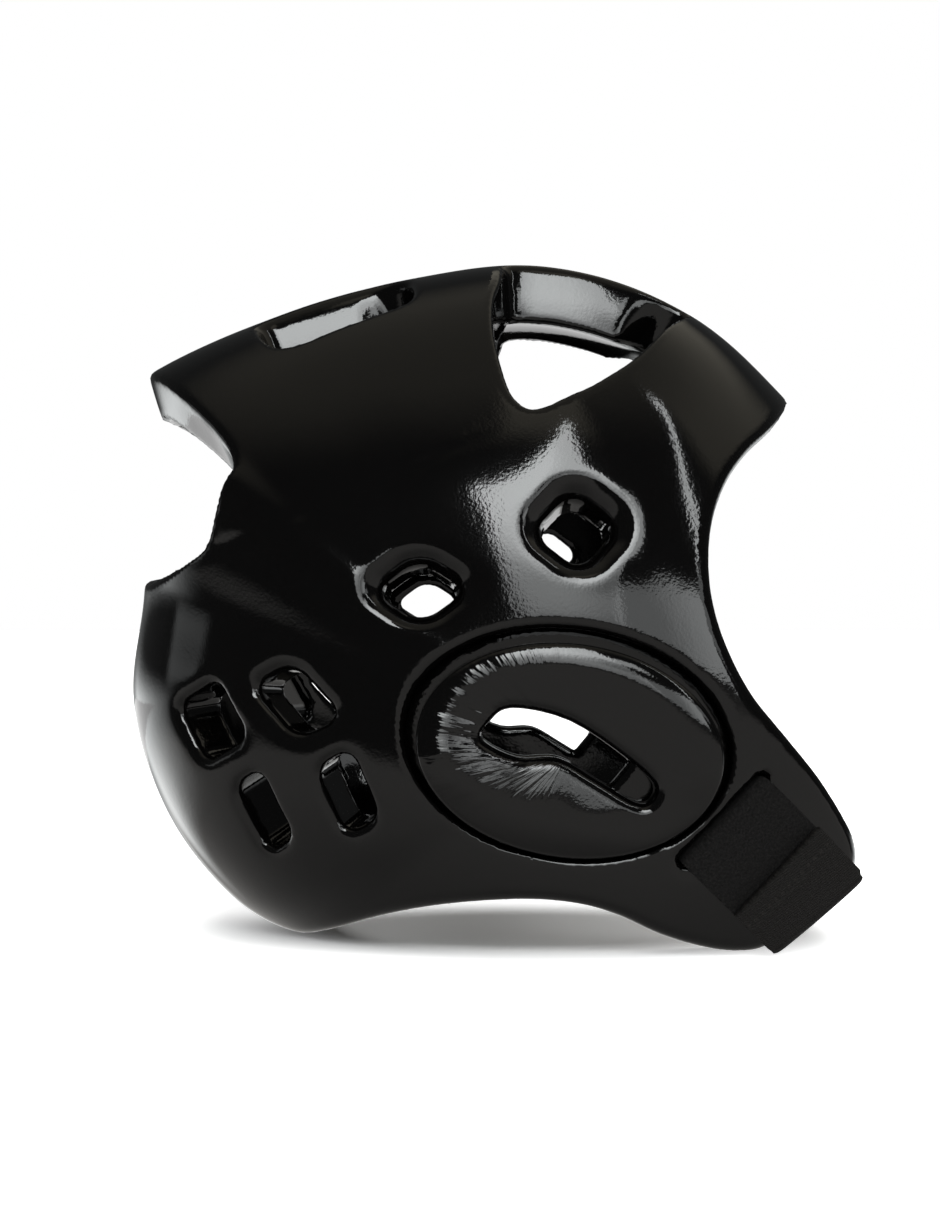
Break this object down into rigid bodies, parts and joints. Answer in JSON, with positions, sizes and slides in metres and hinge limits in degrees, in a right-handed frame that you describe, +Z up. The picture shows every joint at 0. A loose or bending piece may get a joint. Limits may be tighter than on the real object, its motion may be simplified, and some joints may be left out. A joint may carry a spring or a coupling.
{
  "type": "martial arts head guard",
  "caption": "Open-face sparring head guard of dipped foam with ear pads, vented sides and crown, a rear gap and an elastic chin strap that closes on a hook-and-loop tab.",
  "frame": {"origin": "on the ground under the middle of the guard's box, as it lies on its nape edge and cheek ends", "axes": "+X the way the face looks, +Y to the wearer's left, +Z up from the ground it lies on"},
  "size_m": [0.2256, 0.2004, 0.215],
  "materials": {
    "dipped_vinyl": "glossy black vinyl skin on foam",
    "loop_pile": "matte black loop pile",
    "elastic_webbing": "matte black woven elastic"
  },
  "bodies": {
    "root": {"foam_shell": "dipped_vinyl", "ear_pad_right": "dipped_vinyl", "ear_pad_left": "dipped_vinyl", "loop_patch": "loop_pile", "chin_strap": "elastic_webbing"}
  },
  "joints": []
}
